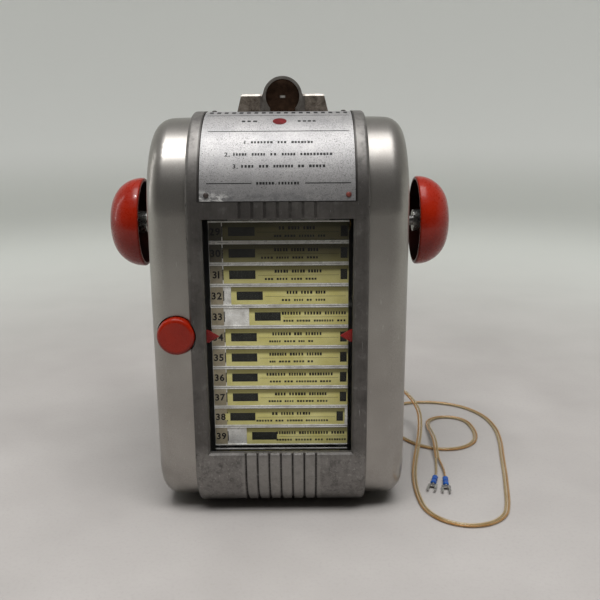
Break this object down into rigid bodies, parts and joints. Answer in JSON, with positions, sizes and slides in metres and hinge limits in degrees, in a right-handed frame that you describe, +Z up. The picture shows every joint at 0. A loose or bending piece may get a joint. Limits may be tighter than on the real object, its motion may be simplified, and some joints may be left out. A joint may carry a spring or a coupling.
{
  "type": "jukebox wall box selector",
  "caption": "Upright remote selector box with a curved metal front band, a window onto a turning belt of title strips, two domed side knobs, a push button and a top coin cup.",
  "frame": {"origin": "on the surface the box stands on, under the middle of its width over the knobs and of its depth, cord left out", "axes": "+X to the right as seen from the front, +Y to the rear, +Z up"},
  "size_m": [0.2807, 0.2093, 0.2736],
  "materials": {
    "grey_paint": "warm silver-grey satin paint, worn",
    "cast_aluminium": "bare cast, dull",
    "sheet_aluminium": "mottled sheet",
    "zinc_steel": "zinc plated",
    "steel": "plain",
    "glass": "clear",
    "red_plastic": "glossy orange-red",
    "red_paint": "deep red",
    "phenolic": "brown phenolic",
    "brass": "plain",
    "nickel": "nickel plated",
    "rubber": "black",
    "clear_vinyl": "clear vinyl over copper and tinned wire",
    "blue_nylon": "blue",
    "tinned": "tinned copper",
    "title_paper": "pale yellow card"
  },
  "bodies": {
    "case": {"housing_shell": "grey_paint", "front_bezel": "cast_aluminium", "bezel_screws": "steel", "instruction_plate": "sheet_aluminium", "plate_pins": "steel", "window_glass": "glass", "glass_clips": "steel", "pointers": "red_paint", "coin_entry": "cast_aluminium", "coin_entry_screws": "steel", "coin_chute": "zinc_steel", "coin_switch": "phenolic", "coin_tray": "zinc_steel", "back_plate": "zinc_steel", "back_plate_screws": "steel", "cable_grommet": "rubber", "side_frame_left": "zinc_steel", "side_frame_right": "zinc_steel", "frame_screws": "steel", "tie_rods": "steel", "shaft_bushes": "brass", "contact_board": "phenolic", "contact_studs": "brass", "gear_stub": "steel", "button_guide": "zinc_steel", "button_switch": "phenolic", "terminal_block": "phenolic", "terminal_screws": "steel", "cord_main": "clear_vinyl", "cord_lead_a": "clear_vinyl", "cord_lead_b": "clear_vinyl", "terminal_sleeves": "blue_nylon", "terminal_forks": "tinned"},
    "selector": {"selector_shaft": "steel", "knob_left": "red_plastic", "knob_right": "red_plastic", "knob_hubs": "nickel", "knob_set_screws": "steel", "upper_belt_wheels": "sheet_aluminium", "drive_pinion": "brass", "top_slats": "sheet_aluminium", "top_hinge_rods": "steel", "top_title_strips": "title_paper"},
    "lower_wheels": {"lower_shaft": "steel", "lower_belt_wheels": "sheet_aluminium", "bottom_slats": "sheet_aluminium", "bottom_hinge_rods": "steel", "bottom_title_strips": "title_paper"},
    "front_titles": {"front_slats": "sheet_aluminium", "front_hinge_rods": "steel", "front_title_strips": "title_paper"},
    "rear_titles": {"rear_slats": "sheet_aluminium", "rear_hinge_rods": "steel", "rear_title_strips": "title_paper"},
    "contact_gear": {"selector_gear": "brass", "contact_wiper": "brass"},
    "button": {"play_button": "red_plastic", "button_stem": "steel", "button_spring": "steel"},
    "lever": {"coin_lever": "steel"}
  },
  "joints": [
    {"name": "selector_turn", "type": "hinge", "parent": "case", "child": "selector", "pos_m": [0, -0.003, 0.182], "axis": [1, 0, 0], "range_deg": [-18, 18]},
    {"name": "lower_wheel_turn", "type": "hinge", "parent": "case", "child": "lower_wheels", "pos_m": [0, -0.003, 0.05], "axis": [1, 0, 0], "range_deg": [-18.2, 18.2]},
    {"name": "front_titles_travel", "type": "slide", "parent": "case", "child": "front_titles", "axis": [0, 0, 1], "range_m": [-0.0133, 0.0133]},
    {"name": "rear_titles_travel", "type": "slide", "parent": "case", "child": "rear_titles", "axis": [0, 0, 1], "range_m": [-0.0133, 0.0133]},
    {"name": "contact_gear_turn", "type": "hinge", "parent": "case", "child": "contact_gear", "pos_m": [0.052, -0.003, 0.1445], "axis": [1, 0, 0], "range_deg": [-9.1, 9.1]},
    {"name": "button_press", "type": "slide", "parent": "case", "child": "button", "axis": [0, 1, 0], "range_m": [0, 0.004], "stiffness_N_per_m": 200, "springref_m": -0.002, "deforming": ["button_spring"]},
    {"name": "coin_lever_swing", "type": "hinge", "parent": "case", "child": "lever", "pos_m": [0.0218, 0.0487, 0.155], "axis": [0, 1, 0], "range_deg": [-20, 0], "stiffness_Nm_per_rad": 0.004, "springref_deg": 8.59}
  ],
  "couplings": [
    {"joint": "lower_wheel_turn", "follows": "selector_turn", "ratio": 1},
    {"joint": "front_titles_travel", "follows": "selector_turn", "m_per_rad": -0.042017},
    {"joint": "rear_titles_travel", "follows": "selector_turn", "m_per_rad": 0.042017},
    {"joint": "contact_gear_turn", "follows": "selector_turn", "ratio": -0.5}
  ]
}
